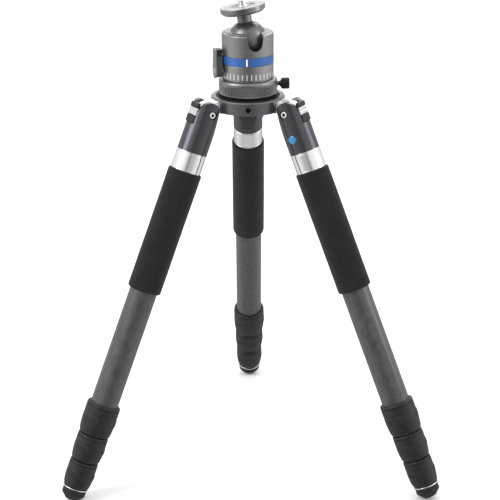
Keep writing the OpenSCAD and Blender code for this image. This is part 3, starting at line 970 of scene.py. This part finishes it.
def make_angle_stop(side, body):
    """The pull-out stop in the fork's slot: black end blocks and a bright tab between."""
    place = LEG_PLACE[side] @ TO_FRONT
    node = f"angle_stop_{side}"
    half = 8.95
    top = slab(f"stop_top_{side}", [(15.5, 2.5), (19.5, 2.5), (19.5, 7.9), (18.5, 8.9),
                                    (15.5, 8.9)], -half, half, place, 0.6)
    dress(top, MATERIALS["black"], body, "black_plastic", node)
    low_block = [(15.5, -17.1), (18.6, -17.1), (19.5, -16.2), (19.5, -7.5), (15.5, -7.5)]
    bottom = slab(f"stop_bottom_{side}", low_block, -half, half, place, 0.6)
    dress(bottom, MATERIALS["black"], body, "black_plastic", node)
    tab_outline = [(15.7, -7.3), (18.9, -7.3), (19.6, -6.6), (19.6, -3.4), (18.9, -3.0),
                   (18.9, -1.4), (19.6, -1.0), (19.6, 1.6), (18.9, 2.3), (15.7, 2.3)]
    tab = slab(f"stop_tab_{side}", tab_outline, -half + 0.3, half - 0.3, place, 0.3)
    dress(tab, MATERIALS["steel"], body, "steel", node)


def make_button(side, body):
    place = LEG_PLACE[side] @ shift(z=-33) @ TO_FRONT
    profile = rounded([(0, 13.7), (5.3, 13.7, 0.2), (5.3, 20.0, 0.9), (4.2, 20.75, 1.2),
                       (2.2, 21.05, 1.2), (0, 21.1)])
    dress(lathe(f"button_dome_{side}", profile, place, 64), MATERIALS["button"],
          body, "blue_gloss", f"release_button_{side}")


def make_leg(side):
    top = f"leg_{side}"
    fork = refined(f"fork_body_{side}", f"fork_{side}", LEG_PLACE[side], 0.6)
    dress(fork, MATERIALS["dark"], top, "dark_alloy", f"fork_{side}")
    make_sleeve(side, top)
    make_foam(side, top)
    make_angle_stop(side, f"angle_stop_{side}")
    make_button(side, f"release_button_{side}")
    make_tube(side, 1, top)
    for n in (1, 2, 3):
        make_lock(side, n, f"lock{n}_{side}")
        make_tube(side, n + 1, f"section{n + 1}_{side}")
    make_foot(side, f"section4_{side}")


# ---------------------------------------------------------------- studio

def make_floor():
    size = 40000
    mesh = bpy.data.meshes.new("floor")
    mesh.from_pydata([(x * MM, y * MM, -0.0001) for x, y in
                      ((-size, -size), (size, -size), (size, size), (-size, size))],
                     [], [(0, 1, 2, 3)])
    floor_obj = add_object("floor", mesh, WORLD)
    mat, tree, bsdf = start_material("floor_pale")
    cloud = noise(tree, coordinates(tree), 3, 3)
    tree.links.new(mixed(tree, ranged(tree, cloud, 0, 1), rgb(0.90, 0.90, 0.90),
                         rgb(0.93, 0.93, 0.93)), bsdf.inputs["Base Color"])
    bsdf.inputs["Roughness"].default_value = 0.8
    bsdf.inputs["Specular IOR Level"].default_value = 0.2
    mesh.materials.append(mat)
    # metal mirrors the studio's walls, not the paper it stands on
    floor_obj.visible_glossy = False


def area_light(name, at, size, watts, aim=(0, 0, 350)):
    data = bpy.data.lights.new(name, "AREA")
    data.shape = "RECTANGLE"
    data.size, data.size_y = size
    data.energy = watts
    light = bpy.data.objects.new(name, data)
    bpy.context.scene.collection.objects.link(light)
    spot, target = Vector(at) * MM, Vector(aim) * MM
    light.location = spot
    light.rotation_mode = "QUATERNION"
    light.rotation_quaternion = (target - spot).to_track_quat("-Z", "Y")


def make_world():
    """White overhead, and walls that are dark to the front and paler to the sides."""
    world = bpy.data.worlds.new("studio")
    world.use_nodes = True
    tree = world.node_tree
    source = add_node(tree, "ShaderNodeTexCoord").outputs["Generated"]
    way = add_node(tree, "ShaderNodeSeparateXYZ", {"Vector": source}).outputs
    sideways = maths(tree, "ABSOLUTE", way["X"])
    wall = ranged(tree, sideways, 0.08, 1.15, 0.30, 1.0)
    behind = ranged(tree, way["Y"], 0.0, 0.5, 0.1, 0.9)
    wall = maths(tree, "MAXIMUM", wall, behind)
    # the white paper under the object
    below = ranged(tree, way["Z"], 0.6, 0.0, -0.72, -0.42)
    wall = maths(tree, "MAXIMUM", wall, below)
    above = ranged(tree, way["Z"], 0.0, 1.0, -0.16, 0.12)
    # the gap between the two soft boxes, straight ahead
    gap = maths(tree, "MULTIPLY", ranged(tree, sideways, 0.72, 0.0, 0.04, 0.32),
                ranged(tree, way["Y"], 1.0, 0.0, -0.75, -0.35))
    ceiling = maths(tree, "MULTIPLY", ranged(tree, way["Z"], 0.92, 1.15, 0.1, 1.0),
                    maths(tree, "SUBTRACT", 1.0, gap))
    grey = mixed(tree, above, wall, ceiling)
    tree.links.new(grey, tree.nodes["Background"].inputs["Color"])
    tree.nodes["Background"].inputs["Strength"].default_value = 1.0
    bpy.context.scene.world = world


def make_studio():
    make_floor()
    make_world()
    area_light("key", (-1900, -900, 1900), (1.2, 1.8), 38)
    area_light("fill", (2000, -300, 1300), (0.9, 1.8), 14)
    area_light("back", (300, 1900, 1900), (1.6, 0.8), 18)
    bpy.context.scene.view_settings.view_transform = "Standard"


make_camera()
make_studio()
make_hub()
make_gasket()
make_pan_base()
make_pan_knob()
make_drum()
make_drag_ring()
make_housing()
make_notch_shade()
make_lever()
make_ball()
make_platform()
for leg_side in LEGS:
    make_leg(leg_side)
